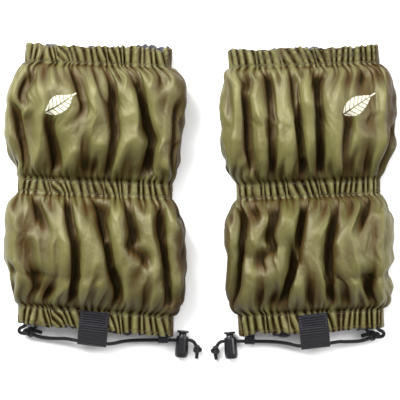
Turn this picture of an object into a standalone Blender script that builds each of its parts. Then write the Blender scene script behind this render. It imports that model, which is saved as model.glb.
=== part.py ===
"""A pair of short hiking gaiters, lying on their backs as they leave the drawer.

Each gaiter is a nylon sleeve with three elasticated bands. Two hems and an inner strip hold the
elastics, a webbing keeper and two small tape loops hang from the bottom hem, and an elastic cord
runs from a knot through them and through a spring cord lock to a stopper knot.

Metres, +Z up from the surface they lie on, +Y from foot to knee, +X across. Each gaiter is modelled
in its own frame: the origin is on the surface under the middle of its bottom edge, and +X points to
the other gaiter, so the right one is mirrored into place. The two are alike, but the cloth and the
cord of each lie a little differently.
"""

import math
from typing import NamedTuple

import bmesh
import bpy
import numpy as np
from mathutils import Matrix, Vector


class Lie(NamedTuple):
    """How one gaiter lies."""

    side: int  # -1 for the left one and 1 for the right one
    place: tuple  # where the middle of its bottom edge is
    half_widths: tuple  # at the bottom hem, lower puff, middle band, upper puff and top hem
    shifts: tuple  # how far the middle is towards the other gaiter, at the same five
    leans: tuple  # how much it slopes away along the leg, at the bottom, middle and top bands
    hardware: tuple  # how far the fittings are from their usual places, at HARDWARE_STATIONS


LIES = {
    "left": Lie(
        side=-1,
        place=(-0.08978, -0.11377),
        half_widths=(0.0663, 0.0780, 0.0659, 0.0774, 0.0625),
        shifts=(0.0, 0.0, -0.0004, 0.0, 0.0030),
        leans=(0.080, 0.045, 0.038),
        hardware=((0.0, 0.0), (0.0, 0.0), (0.0, 0.0)),
    ),
    "right": Lie(
        side=1,
        place=(0.09342, -0.11477),
        half_widths=(0.0620, 0.0727, 0.0612, 0.0757, 0.0642),
        shifts=(-0.0013, 0.0009, 0.0013, 0.0013, 0.0060),
        leans=(0.045, 0.042, 0.030),
        hardware=((0.0022, -0.0020), (-0.0016, -0.0011), (-0.0062, 0.0)),
    ),
}
HARDWARE_STATIONS = (-0.050, -0.003, 0.053)  # the anchor, the keeper and the side loop

# The sleeve, along the leg from its bottom edge
SLEEVE_LENGTH = 0.2423
BOTTOM_HEM = 0.0170
MID_BAND = (0.1152, 0.1280)
TOP_HEM = 0.0153

# The sleeve, in thickness, at the bands and at the fullest part between two of them
BAND_LOW, BAND_HIGH, BAND_CROWN = 0.002, 0.020, 0.0005
PUFF_HIGH, PUFF_CROWN = 0.038, 0.008
PUFF_SQUARENESS = 4  # how fast the cloth fills out beside a band

# Layers of cloth and elastic, measured inwards from the outer face
CLOTH = 0.001
CHANNEL = 0.002  # the room in a hem for its elastic
ELASTIC = 0.0012
ELASTIC_GAP = 0.0004
HEM_THICK = 2 * CLOTH + CHANNEL
SLIT = 0.0003  # sewn shut on the real hem
TOUCH = 0.00035  # between pieces that lie on each other
SEAM_TAPE_WIDE, SEAM_TAPE_THICK = 0.008, 0.0008

# Webbing
KEEPER_WIDE, KEEPER_THICK = 0.025, 0.0012
KEEPER_PIVOT = Vector((-0.001, 0.008, 0.0))
KEEPER_TURN = math.radians(-6.5)
KEEPER_OUTER_LEG, KEEPER_INNER_LEG = 0.0084, 0.006  # above the pivot
LOOP_TAPE_THICK = 0.0008
SIDE_LOOP_WIDE, ANCHOR_LOOP_WIDE = 0.0085, 0.0045
LOOP_LEG = 0.012  # how far the small loops reach up inside the hem
LOOP_LEG_HALF_GAP = 0.0003

# The elastic cord
CORD_DIAMETER = 0.003
CORD_ROOM = 0.0006  # between the cord and a loop that it runs through
CORD_AT_KEEPER = Vector((-0.0031, -0.0102, 0.0115))
CORD_AT_SIDE_LOOP = Vector((0.0576, -0.0086, 0.0062))
CORD_AT_ANCHOR = Vector((-0.0552, 0.0074, 0.0110))

# The cord lock. Its own frame has +Y along the barrel towards the button, from where the cord crosses
LOCK_PLACE = Vector((0.0742, -0.0086, 0.0061))
LOCK_TURN = math.radians(-4.5)
BARREL_TOP, BARREL_BOTTOM = 0.0034, -0.0152
BARREL_RADIUS, BARREL_TOP_RADIUS, BORE_RADIUS = 0.0056, 0.0052, 0.00385
BARREL_FLOOR = 0.0018
CORD_HOLE_RADIUS = 0.0023
PLUNGER_RADIUS = 0.0035
PLUNGER_BOTTOM = -0.0064
HEAD_LOW, HEAD_HIGH, HEAD_RADIUS = 0.0065, 0.0083, 0.0052
PRESS_TRAVEL = 0.0028
SLOT_CLEARANCE = 0.00035
SLOT_HALF_WIDTH = 0.00195
SPRING_RADIUS, SPRING_WIRE, SPRING_TURNS = 0.0026, 0.0006, 4.5

# How finely things are faceted
STRAIGHT_POINTS, ARC_POINTS = 7, 5
PUFF_ROWS = (0.08, 0.25, 0.5, 0.75, 0.92)
FOLD_STEPS = 4
TURNED_SIDES = 20
CORD_STEP = 0.006
SPRING_POINTS_PER_TURN = 8

COLOURS = {
    "fabric": ((0.30, 0.29, 0.13), 0.45, 0.0),
    "lining": ((0.06, 0.055, 0.06), 0.55, 0.0),
    "elastic": ((0.75, 0.74, 0.70), 0.80, 0.0),
    "webbing": ((0.018, 0.018, 0.022), 0.70, 0.0),
    "cord": ((0.015, 0.015, 0.017), 0.75, 0.0),
    "plastic": ((0.02, 0.02, 0.023), 0.35, 0.0),
    "spring_steel": ((0.60, 0.60, 0.62), 0.30, 1.0),
}


# --- Scene helpers -----------------------------------------------------------------------------


def clear_scene():
    for obj in list(bpy.data.objects):
        bpy.data.objects.remove(obj, do_unlink=True)


def material(name):
    made = bpy.data.materials.get(name)
    if made is None:
        colour, roughness, metallic = COLOURS[name]
        made = bpy.data.materials.new(name)
        made.use_nodes = True
        shader = made.node_tree.nodes["Principled BSDF"]
        shader.inputs["Base Color"].default_value = (*colour, 1)
        shader.inputs["Roughness"].default_value = roughness
        shader.inputs["Metallic"].default_value = metallic
    return made


def add_object(name, data, material_name, place=(0, 0, 0), turn=0.0):
    """A piece of a gaiter, placed in that gaiter's frame."""
    data.materials.append(material(material_name))
    obj = bpy.data.objects.new(name, data)
    bpy.context.scene.collection.objects.link(obj)
    obj.location = place
    obj.rotation_euler = (0, 0, turn)
    return obj


def mesh_from(points, faces, name, smooth=True):
    """A closed mesh with its faces pointing out, shaded smooth except at sharp edges."""
    shape = bmesh.new()
    corners = [shape.verts.new(point) for point in points]
    for face in faces:
        shape.faces.new([corners[i] for i in face])
    bmesh.ops.recalc_face_normals(shape, faces=shape.faces)
    mesh = bpy.data.meshes.new(name)
    shape.to_mesh(mesh)
    shape.free()
    if smooth:
        mesh.shade_smooth()
        mesh.set_sharp_from_angle(angle=math.radians(35))
    return mesh


def combine(obj, other, operation):
    """Cuts other from obj, or joins it to obj, and removes other."""
    bpy.context.view_layer.update()
    modifier = obj.modifiers.new(operation.lower(), "BOOLEAN")
    modifier.operation = operation
    modifier.object = other
    graph = bpy.context.evaluated_depsgraph_get()
    graph.update()
    made = bpy.data.meshes.new_from_object(obj.evaluated_get(graph))
    obj.modifiers.clear()
    obj.data = made
    bpy.data.objects.remove(other, do_unlink=True)


# --- The sleeve's shape ------------------------------------------------------------------------


def fullness(along):
    """0 at the bands and 1 at the fullest part between two of them."""
    for low, high in ((BOTTOM_HEM, MID_BAND[0]), (MID_BAND[1], SLEEVE_LENGTH - TOP_HEM)):
        if low < along < high:
            across = 2 * (along - low) / (high - low) - 1
            return 1 - abs(across) ** PUFF_SQUARENESS
    return 0.0


def section(lie, along):
    """Half width, underside, top of the sides and crown of the sleeve at that distance up the leg."""
    full = fullness(along)
    bottom, lower, middle, upper, top = lie.half_widths
    stations = (BOTTOM_HEM, *MID_BAND, SLEEVE_LENGTH - TOP_HEM)
    band = float(np.interp(along, stations, (bottom, middle, middle, top)))
    puff = lower if along < MID_BAND[0] else upper
    wide = band + (puff - band) * full
    low = max(0.0, BAND_LOW - 2 * BAND_LOW * full)
    high = BAND_HIGH + (PUFF_HIGH - BAND_HIGH) * full
    crown = BAND_CROWN + (PUFF_CROWN - BAND_CROWN) * full
    return wide, low, high, crown


def lay(lie, across, along, up):
    """A point of the straight sleeve, shifted and leant over as it lies."""
    middle = sum(MID_BAND) / 2
    lean = float(np.interp(along, (0, middle, SLEEVE_LENGTH), lie.leans))
    stations = (0, middle / 2, middle, (middle + SLEEVE_LENGTH) / 2, SLEEVE_LENGTH)
    shift = float(np.interp(along, stations, lie.shifts))
    return Vector((across + shift, along - lean * across, up))


def ring(lie, along, depth):
    """The points round the sleeve at that distance up the leg, that deep inside the outer face."""
    wide, low, high, crown = section(lie, along)
    outer = (high - low) / 2
    straight, radius, middle = wide - outer, outer - depth, (high + low) / 2
    shares = [2 * i / (STRAIGHT_POINTS - 1) - 1 for i in range(STRAIGHT_POINTS)]
    turns = [math.pi * (0.5 - (i + 1) / (ARC_POINTS + 1)) for i in range(ARC_POINTS)]
    top = [(s * straight, high - depth + crown * (1 - s * s)) for s in shares]
    right = [(straight + radius * math.cos(a), middle + radius * math.sin(a)) for a in turns]
    bottom = [(-s * straight, low + depth) for s in shares]
    left = [(-x, z) for x, z in reversed(right)]
    return [lay(lie, x, along, z) for x, z in top + right + bottom + left]


def sweep_round(lie, name, profile, material_name):
    """A closed profile of (distance up the leg, depth) carried round the sleeve."""
    rings = [ring(lie, along, depth) for along, depth in profile]
    count, size = len(rings), len(rings[0])
    points = [point for each in rings for point in each]
    faces = [
        (
            k * size + i,
            k * size + (i + 1) % size,
            (k + 1) % count * size + (i + 1) % size,
            (k + 1) % count * size + i,
        )
        for k in range(count)
        for i in range(size)
    ]
    return add_object(name, mesh_from(points, faces, name), material_name)


def fold(centre, radius, towards):
    """A half turn of cloth at a hem's edge, from the outer face to the inner one."""
    middle = HEM_THICK / 2
    angles = [math.pi * (i + 1) / (FOLD_STEPS + 1) for i in range(FOLD_STEPS)]
    return [(centre + towards * radius * math.sin(a), middle - radius * math.cos(a)) for a in angles]


def wall_rows():
    """Where the sleeve's wall has points between its two hems."""
    rows = []
    for low, high in ((BOTTOM_HEM, MID_BAND[0]), (MID_BAND[1], SLEEVE_LENGTH - TOP_HEM)):
        rows += [low, *(low + (high - low) * share for share in PUFF_ROWS), high]
    return rows


def make_sleeve(lie):
    """One panel of cloth, folded in at both hems round a channel for the elastic."""
    outer, inner = HEM_THICK / 2, CHANNEL / 2
    foot, knee = outer, SLEEVE_LENGTH - outer
    foot_flap, knee_flap = BOTTOM_HEM - 0.0004, SLEEVE_LENGTH - TOP_HEM + 0.0004
    closing = CLOTH + SLIT
    rows = wall_rows()
    profile = [(foot, 0.0), *((row, 0.0) for row in rows), (knee, 0.0)]
    profile += fold(knee, outer, 1)
    profile += [(knee, HEM_THICK), (knee_flap, HEM_THICK), (knee_flap, closing)]
    profile += [(knee_flap + CLOTH, closing), (knee_flap + CLOTH, HEM_THICK - CLOTH)]
    profile += [(knee, HEM_THICK - CLOTH), *reversed(fold(knee, inner, 1)), (knee, CLOTH)]
    profile += [(row, CLOTH) for row in reversed(rows)]
    profile += [(foot, CLOTH), *fold(foot, inner, -1), (foot, HEM_THICK - CLOTH)]
    profile += [(foot_flap - CLOTH, HEM_THICK - CLOTH), (foot_flap - CLOTH, closing)]
    profile += [(foot_flap, closing), (foot_flap, HEM_THICK), (foot, HEM_THICK)]
    profile += reversed(fold(foot, outer, -1))
    sweep_round(lie, "sleeve", profile, "fabric")


def make_elastics(lie):
    """A flat elastic round each channel."""
    near, far = CLOTH + ELASTIC_GAP, CLOTH + ELASTIC_GAP + ELASTIC
    room = 0.0013
    bands = {
        "bottom_elastic": (HEM_THICK / 2 + ELASTIC_GAP, BOTTOM_HEM - room - CLOTH),
        "mid_elastic": (MID_BAND[0] + room, MID_BAND[1] - room),
        "top_elastic": (
            SLEEVE_LENGTH - TOP_HEM + room + CLOTH,
            SLEEVE_LENGTH - HEM_THICK / 2 - ELASTIC_GAP,
        ),
    }
    for name, (low, high) in bands.items():
        profile = [(low, near), (high, near), (high, far), (low, far)]
        sweep_round(lie, name, profile, "elastic")


def make_mid_casing(lie):
    """The strip sewn inside the sleeve that makes the middle channel: its edges turn to the wall."""
    low, high = MID_BAND[0] + 0.0001, MID_BAND[1] - 0.0001
    edge, face = CLOTH + SLIT, HEM_THICK - CLOTH
    profile = [(low, edge), (low + CLOTH, edge), (low + CLOTH, face), (high - CLOTH, face)]
    profile += [(high - CLOTH, edge), (high, edge), (high, HEM_THICK), (low, HEM_THICK)]
    sweep_round(lie, "mid_casing", profile, "lining")


def make_seam_tapes(lie):
    """Tape over the seam that closes the sleeve down its back, below and above the middle band."""
    clear = 0.0006
    spans = {
        "seam_tape_lower": (BOTTOM_HEM + clear, MID_BAND[0] - clear),
        "seam_tape_upper": (MID_BAND[1] + clear, SLEEVE_LENGTH - TOP_HEM - clear),
    }
    for name, (start, end) in spans.items():
        rows = [start, *(row for row in wall_rows() if start < row < end), end]
        points = []
        for row in rows:
            base = section(lie, row)[1] + CLOTH + SLIT
            for x, z in ((-1, 0), (1, 0), (1, 1), (-1, 1)):
                points.append(lay(lie, x * SEAM_TAPE_WIDE / 2, row, base + z * SEAM_TAPE_THICK))
        add_object(name, mesh_from(points, tube_faces(len(rows), 4), name), "lining")


def tube_faces(count, size):
    """Faces of a closed tube of count rings of size points, with its two ends."""
    faces = [
        (k * size + i, k * size + (i + 1) % size, (k + 1) * size + (i + 1) % size, (k + 1) * size + i)
        for k in range(count - 1)
        for i in range(size)
    ]
    return [*faces, tuple(range(size)), tuple((count - 1) * size + i for i in range(size))]


# --- Webbing -----------------------------------------------------------------------------------


def strip(path, wide, thick, name):
    """A flat strip of that width along X, whose middle follows a path of (y, z) points."""
    line = [Vector(point) for point in path]
    points = []
    for i, here in enumerate(line):
        before = (here - line[i - 1]).normalized() if i else None
        after = (line[i + 1] - here).normalized() if i + 1 < len(line) else None
        along = ((before or after) + (after or before)).normalized()
        # A mitre, so that the strip keeps its thickness round a bend
        reach = thick / 2 / max(0.5, along.dot(before or after))
        y, z = Vector((-along.y, along.x)) * reach
        for side, face in ((-1, -1), (1, -1), (1, 1), (-1, 1)):
            points.append((side * wide / 2, here.x + face * y, here.y + face * z))
    return mesh_from(points, tube_faces(len(line), 4), name)


def wrapped_path(outer, inner, centre, radius, steps=6):
    """From the end of outer, round the far side of a cord at centre, and back to the start of inner."""

    def touching(point, side):
        to = Vector(point) - Vector(centre)
        return math.atan2(to.y, to.x) + side * math.acos(radius / to.length)

    start, end = touching(outer[-1], 1), touching(inner[0], -1) + 2 * math.pi
    angles = [start + (end - start) * i / steps for i in range(steps + 1)]
    turn = [(centre[0] + radius * math.cos(a), centre[1] + radius * math.sin(a)) for a in angles]
    return [*outer, *turn, *inner]


def settled(lie, point):
    """Where a fitting, or a point of the cord, lies on this gaiter."""
    across, along = zip(*lie.hardware)
    shift_x = float(np.interp(point[0], HARDWARE_STATIONS, across))
    shift_y = float(np.interp(point[0], HARDWARE_STATIONS, along))
    return Vector((point[0] + shift_x, point[1] + shift_y, point[2]))


def make_keeper(lie):
    """Wide webbing sewn over the front of the bottom hem, with the cord in its fold."""
    outer_z = BAND_HIGH + BAND_CROWN + TOUCH + KEEPER_THICK / 2
    inner_z = BAND_HIGH - HEM_THICK - TOUCH - KEEPER_THICK / 2
    pivot = settled(lie, KEEPER_PIVOT)
    edge = -KEEPER_PIVOT.y - 0.0003
    cord = Matrix.Rotation(-KEEPER_TURN, 4, "Z") @ (settled(lie, CORD_AT_KEEPER) - pivot)
    path = wrapped_path(
        [(KEEPER_OUTER_LEG, outer_z), (edge, outer_z)],
        [(edge, inner_z), (KEEPER_INNER_LEG, inner_z)],
        (cord.y, cord.z),
        CORD_DIAMETER / 2 + CORD_ROOM + KEEPER_THICK / 2,
    )
    mesh = strip(path, KEEPER_WIDE, KEEPER_THICK, "front_keeper")
    add_object("front_keeper", mesh, "webbing", pivot, KEEPER_TURN)


def make_small_loop(lie, name, wide, cord):
    """Narrow tape folded round the cord, with both legs flat together inside the hem."""
    cord = settled(lie, cord)
    hem_edge = lay(lie, cord.x - lie.shifts[0], 0, 0).y
    middle = (BAND_LOW + BAND_HIGH) / 2
    half = LOOP_LEG_HALF_GAP + LOOP_TAPE_THICK / 2
    legs_meet = max(hem_edge, cord.y + 0.005)
    path = wrapped_path(
        [(hem_edge + LOOP_LEG, middle + half), (legs_meet, middle + half)],
        [(legs_meet, middle - half), (hem_edge + LOOP_LEG, middle - half)],
        (cord.y, cord.z),
        CORD_DIAMETER / 2 + CORD_ROOM + LOOP_TAPE_THICK / 2,
    )
    add_object(name, strip(path, wide, LOOP_TAPE_THICK, name), "webbing", (cord.x, 0, 0))


# --- The cord ----------------------------------------------------------------------------------


def smooth_line(route, step):
    """Points about step apart on a smooth curve through the route's points."""
    line = [route[0]]
    for i in range(len(route) - 1):
        before = route[i] - (route[i + 1] - route[i]) if i == 0 else route[i - 1]
        last = i + 2 == len(route)
        after = route[i + 1] + (route[i + 1] - route[i]) if last else route[i + 2]
        pieces = max(1, round((route[i + 1] - route[i]).length / step))
        for k in range(1, pieces + 1):
            t = k / pieces
            line.append(
                (
                    2 * route[i]
                    + (route[i + 1] - before) * t
                    + (2 * before - 5 * route[i] + 4 * route[i + 1] - after) * t * t
                    + (3 * route[i] - before - 3 * route[i + 1] + after) * t * t * t
                )
                / 2
            )
    return line


def round_cord(lie, name, route, step=CORD_STEP):
    """A round cord on a smooth curve through the route's points."""
    line = smooth_line([settled(lie, point) for point in route], step)
    curve = bpy.data.curves.new(name, "CURVE")
    curve.dimensions = "3D"
    curve.bevel_depth = CORD_DIAMETER / 2
    curve.bevel_resolution = 2
    curve.use_fill_caps = True
    spline = curve.splines.new("POLY")
    spline.points.add(len(line) - 1)
    for point, place in zip(spline.points, line):
        point.co = (*place, 1)
    return add_object(name, curve, "cord")


def solid_of(curve_object):
    """The curve's mesh in place of the curve, for a Boolean."""
    graph = bpy.context.evaluated_depsgraph_get()
    graph.update()
    mesh = bpy.data.meshes.new_from_object(curve_object.evaluated_get(graph))
    shape = bmesh.new()
    shape.from_mesh(mesh)
    bmesh.ops.remove_doubles(shape, verts=shape.verts, dist=1e-6)
    bmesh.ops.recalc_face_normals(shape, faces=shape.faces)
    shape.to_mesh(mesh)
    shape.free()
    name, old = curve_object.name, curve_object
    made = bpy.data.objects.new(name + "_solid", mesh)
    bpy.context.scene.collection.objects.link(made)
    bpy.data.objects.remove(old, do_unlink=True)
    return made


def make_knot(lie, name, centre, size, strands):
    """A tied knot: a rounded lump with the strands that come out of it."""
    shape = bmesh.new()
    bmesh.ops.create_uvsphere(shape, u_segments=12, v_segments=7, radius=1)
    bmesh.ops.scale(shape, vec=size, verts=shape.verts)
    mesh = bpy.data.meshes.new(name)
    shape.to_mesh(mesh)
    shape.free()
    mesh.shade_smooth()
    knot = add_object(name, mesh, "cord", settled(lie, centre))
    for i, route in enumerate(strands):
        strand = round_cord(lie, f"{name}_strand_{i}", route, step=0.004)
        combine(knot, solid_of(strand), "UNION")


CORD_ROUTE = (
    (-0.0508, -0.0050, 0.0056),
    (-0.0470, -0.0061, 0.0056),
    (-0.0420, -0.0068, 0.0060),
    (-0.0340, -0.0072, 0.0070),
    (-0.0260, -0.0073, 0.0085),
    (-0.0200, -0.0081, 0.0104),
    (-0.0155, -0.0088, 0.0115),
    (-0.0093, -0.0095, 0.0115),
    (-0.0031, -0.0102, 0.0115),
    (0.0031, -0.0109, 0.0115),
    (0.0093, -0.0116, 0.0115),
    (0.0150, -0.0113, 0.0101),
    (0.0220, -0.0099, 0.0078),
    (0.0300, -0.0090, 0.0064),
    (0.0380, -0.0087, 0.0060),
    (0.0460, -0.0086, 0.0062),
    (0.0575, -0.0086, 0.0062),
    (0.0640, -0.0086, 0.0061),
    (0.0720, -0.0086, 0.0061),
    (0.0797, -0.0086, 0.0061),
    (0.0822, -0.0091, 0.0060),
    (0.0842, -0.0105, 0.0056),
    (0.0853, -0.0122, 0.0051),
)
ANCHOR_KNOT = (Vector((-0.0570, -0.0016, 0.0060)), (0.0056, 0.0044, 0.0042))
ANCHOR_BIGHT = (
    (-0.0570, -0.0025, 0.0060),
    (-0.0615, -0.0029, 0.0065),
    (-0.0648, -0.0020, 0.0076),
    (-0.0656, 0.0002, 0.0090),
    (-0.0641, 0.0021, 0.0103),
    (-0.0620, 0.0030, 0.0109),
    (-0.0601, 0.0045, 0.0112),
    (-0.0590, 0.0064, 0.0111),
    (-0.0574, 0.0074, 0.0110),
    (-0.0552, 0.0074, 0.0110),
    (-0.0529, 0.0073, 0.0110),
    (-0.0512, 0.0057, 0.0106),
    (-0.0510, 0.0033, 0.0092),
    (-0.0530, 0.0004, 0.0070),
)
ANCHOR_TAIL = ((-0.0560, 0.0000, 0.0068), (-0.0510, -0.0008, 0.0064), (-0.0462, -0.0022, 0.0054))
ANCHOR_STUB = ((-0.0560, -0.0030, 0.0058), (-0.0530, -0.0044, 0.0056), (-0.05109, -0.00492, 0.0056))
END_KNOT = (Vector((0.0871, -0.0163, 0.0040)), (0.0038, 0.0035, 0.0035))
END_STUB = ((0.0870, -0.0160, 0.0042), (0.0860, -0.0138, 0.0047), (0.08545, -0.01246, 0.0050))
END_TAIL = ((0.0871, -0.0165, 0.0036), (0.0868, -0.0205, 0.0024), (0.0862, -0.0245, 0.0019))


def make_cord(lie):
    round_cord(lie, "shock_cord", CORD_ROUTE)
    make_knot(lie, "anchor_knot", *ANCHOR_KNOT, (ANCHOR_BIGHT, ANCHOR_TAIL, ANCHOR_STUB))
    make_knot(lie, "end_knot", *END_KNOT, (END_STUB, END_TAIL))


# --- The cord lock -----------------------------------------------------------------------------


def turned(name, profile):
    """A profile of (radius, y) turned round the Y axis; a radius of 0 is a point on the axis."""
    points, rows = [], []
    for radius, y in profile:
        count = 1 if radius == 0 else TURNED_SIDES
        rows.append([len(points) + i for i in range(count)])
        for i in range(count):
            angle = 2 * math.pi * i / TURNED_SIDES
            points.append((radius * math.sin(angle), y, radius * math.cos(angle)))
    faces = []
    for row, after in zip(rows, rows[1:]):
        for i in range(TURNED_SIDES):
            ends = [row[i % len(row)], row[(i + 1) % len(row)]]
            ends += [after[(i + 1) % len(after)], after[i % len(after)]]
            faces.append(tuple(dict.fromkeys(ends)))
    return mesh_from(points, faces, name)


def cutter(mesh, place, turn=0.0):
    obj = bpy.data.objects.new(mesh.name, mesh)
    bpy.context.scene.collection.objects.link(obj)
    obj.location = place
    obj.rotation_euler = (0, 0, turn)
    return obj


def through_x(name, low, high, radius, length=0.016, steps=8):
    """A slot with round ends, low to high in Y, that runs right through along X."""
    outline = []
    for centre, first in ((high - radius, 0.0), (low + radius, math.pi)):
        for i in range(steps + 1):
            angle = first + math.pi * i / steps
            outline.append((centre + radius * math.sin(angle), radius * math.cos(angle)))
    points = [(x, y, z) for x in (-length / 2, length / 2) for y, z in outline]
    return mesh_from(points, tube_faces(2, len(outline)), name)


def make_lock(lie):
    """A barrel with a cross hole, and a sprung plunger whose slot traps the cord."""
    place, rim = settled(lie, LOCK_PLACE), 0.0004
    barrel_profile = (
        (0, BARREL_BOTTOM),
        (0.0034, BARREL_BOTTOM),
        (0.0047, BARREL_BOTTOM + 0.0005),
        (BARREL_RADIUS - 0.0002, BARREL_BOTTOM + 0.0018),
        (BARREL_RADIUS, BARREL_BOTTOM + 0.0042),
        (BARREL_TOP_RADIUS, BARREL_TOP - rim),
        (BARREL_TOP_RADIUS - rim, BARREL_TOP),
        (BORE_RADIUS, BARREL_TOP),
        (BORE_RADIUS, BARREL_BOTTOM + BARREL_FLOOR),
        (0, BARREL_BOTTOM + BARREL_FLOOR),
    )
    barrel_mesh = turned("lock_barrel", barrel_profile)
    barrel = add_object("lock_barrel", barrel_mesh, "plastic", place, LOCK_TURN)
    hole = through_x("cord_hole", -CORD_HOLE_RADIUS, CORD_HOLE_RADIUS + 1e-6, CORD_HOLE_RADIUS)
    combine(barrel, cutter(hole, place), "DIFFERENCE")

    plunger_profile = (
        (0, PLUNGER_BOTTOM),
        (PLUNGER_RADIUS - rim, PLUNGER_BOTTOM),
        (PLUNGER_RADIUS, PLUNGER_BOTTOM + rim),
        (PLUNGER_RADIUS, HEAD_LOW),
        (HEAD_RADIUS - rim / 2, HEAD_LOW),
        (HEAD_RADIUS, HEAD_LOW + rim),
        (HEAD_RADIUS, HEAD_HIGH - 2 * rim),
        (HEAD_RADIUS - 2 * rim, HEAD_HIGH),
        (0, HEAD_HIGH),
    )
    plunger_mesh = turned("lock_plunger", plunger_profile)
    plunger = add_object("lock_plunger", plunger_mesh, "plastic", place, LOCK_TURN)
    reach = CORD_DIAMETER / 2 + SLOT_CLEARANCE
    slot = through_x("cord_slot", -reach, reach + PRESS_TRAVEL, SLOT_HALF_WIDTH)
    combine(plunger, cutter(slot, place, LOCK_TURN), "DIFFERENCE")

    make_spring(place)


def make_spring(place):
    """The coil between the plunger and the barrel's floor."""
    gap = 0.0003
    low = BARREL_BOTTOM + BARREL_FLOOR + gap + SPRING_WIRE / 2
    high = PLUNGER_BOTTOM - gap - SPRING_WIRE / 2
    count = round(SPRING_TURNS * SPRING_POINTS_PER_TURN)
    curve = bpy.data.curves.new("lock_spring", "CURVE")
    curve.dimensions = "3D"
    curve.bevel_depth = SPRING_WIRE / 2
    curve.bevel_resolution = 1
    curve.use_fill_caps = True
    spline = curve.splines.new("POLY")
    spline.points.add(count)
    for i, point in enumerate(spline.points):
        angle = 2 * math.pi * i / SPRING_POINTS_PER_TURN
        x, z = SPRING_RADIUS * math.sin(angle), SPRING_RADIUS * math.cos(angle)
        point.co = (x, low + (high - low) * i / count, z, 1)
    add_object("lock_spring", curve, "spring_steel", place, LOCK_TURN)


# --- The pair ----------------------------------------------------------------------------------


def make_gaiter(hand, lie):
    before = set(bpy.context.scene.objects)
    make_sleeve(lie)
    make_elastics(lie)
    make_mid_casing(lie)
    make_seam_tapes(lie)
    make_keeper(lie)
    make_small_loop(lie, "side_loop", SIDE_LOOP_WIDE, CORD_AT_SIDE_LOOP)
    make_small_loop(lie, "anchor_loop", ANCHOR_LOOP_WIDE, CORD_AT_ANCHOR)
    make_cord(lie)
    make_lock(lie)

    frame = bpy.data.objects.new(hand + "_gaiter", None)
    frame.location = (*lie.place, 0)
    frame.scale = (-lie.side, 1, 1)
    for piece in set(bpy.context.scene.objects) - before:
        piece.name = f"{hand}_{piece.name}"
        piece.parent = frame
    bpy.context.scene.collection.objects.link(frame)


def main():
    clear_scene()
    for hand, lie in LIES.items():
        make_gaiter(hand, lie)


main()
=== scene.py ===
"""A pair of short nylon hiking gaiters lying on a pale floor, seen from above.

The sleeves are gathered cloth. Each is a tube of cloth, wider than its three elastic bands, that is
laid round the CAD sleeve's section with its main folds begun as listed, and then settled by a small
cloth solver until every thread has its own length again. Hems, elastics, webbing, cord and cord lock
are modelled to the CAD pieces' sizes and places. All lengths are in metres.
"""

import math
from types import SimpleNamespace

import bmesh
import bpy
import numpy as np
from mathutils import Matrix, Vector


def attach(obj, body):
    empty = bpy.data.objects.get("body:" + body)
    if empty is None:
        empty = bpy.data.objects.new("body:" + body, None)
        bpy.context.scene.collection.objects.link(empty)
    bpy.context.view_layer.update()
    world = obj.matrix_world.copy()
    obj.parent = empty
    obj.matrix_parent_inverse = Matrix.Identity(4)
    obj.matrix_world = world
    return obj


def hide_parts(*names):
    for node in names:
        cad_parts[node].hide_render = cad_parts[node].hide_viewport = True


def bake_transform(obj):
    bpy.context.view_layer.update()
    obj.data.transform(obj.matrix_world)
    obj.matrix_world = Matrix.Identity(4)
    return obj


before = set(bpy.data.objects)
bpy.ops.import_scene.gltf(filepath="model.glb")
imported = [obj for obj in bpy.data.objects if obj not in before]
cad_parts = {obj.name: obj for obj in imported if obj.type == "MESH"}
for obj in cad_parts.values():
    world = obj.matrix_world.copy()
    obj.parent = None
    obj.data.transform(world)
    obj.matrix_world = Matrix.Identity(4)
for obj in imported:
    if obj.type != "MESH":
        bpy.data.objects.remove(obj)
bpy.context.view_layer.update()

MM = 0.001


def mm(*points):
    """Points given in millimetres."""
    return tuple(tuple(MM * c for c in point) for point in points)


# --- Sizes, as in the CAD ---

SLEEVE_LENGTH = 0.2423
BOTTOM_HEM, TOP_HEM = 0.017, 0.0153
MID_BAND = (0.1152, 0.128)
PUFFS = ((BOTTOM_HEM, MID_BAND[0]), (MID_BAND[1], SLEEVE_LENGTH - TOP_HEM))
BANDS = ((0.0, BOTTOM_HEM), MID_BAND, (SLEEVE_LENGTH - TOP_HEM, SLEEVE_LENGTH))
SHIFT_STATIONS = (0.0, 0.0608, 0.1216, 0.18195, SLEEVE_LENGTH)
LEAN_STATIONS = (0.0, 0.1216, SLEEVE_LENGTH)
HARDWARE_STATIONS = (-0.05, -0.003, 0.053)

HANDS = {
    "left": {
        "side": -1,
        "place": (-0.08978, -0.11377),
        "half_widths": (0.0663, 0.078, 0.0659, 0.0774, 0.0625),
        "shifts": (0.0, 0.0, -0.0004, 0.0, 0.003),
        "leans": (0.08, 0.045, 0.038),
        "hardware": ((0.0, 0.0), (0.0, 0.0), (0.0, 0.0)),
        "print_at": (-0.0289, 0.1899),
        "print_turn": -28,
        "back_rise": 0.0024,
        "phase": 0.0,
        "seed": 11,
    },
    "right": {
        "side": 1,
        "place": (0.09342, -0.11477),
        "half_widths": (0.062, 0.0727, 0.0612, 0.0757, 0.0642),
        "shifts": (-0.0013, 0.0009, 0.0013, 0.0013, 0.006),
        "leans": (0.045, 0.042, 0.03),
        "hardware": ((0.0022, -0.002), (-0.0016, -0.0011), (-0.0062, 0.0)),
        "print_at": (-0.0385, 0.1903),
        "print_turn": 208,
        "back_rise": 0.0,
        "phase": 2.1,
        "seed": 12,
    },
}

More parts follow.
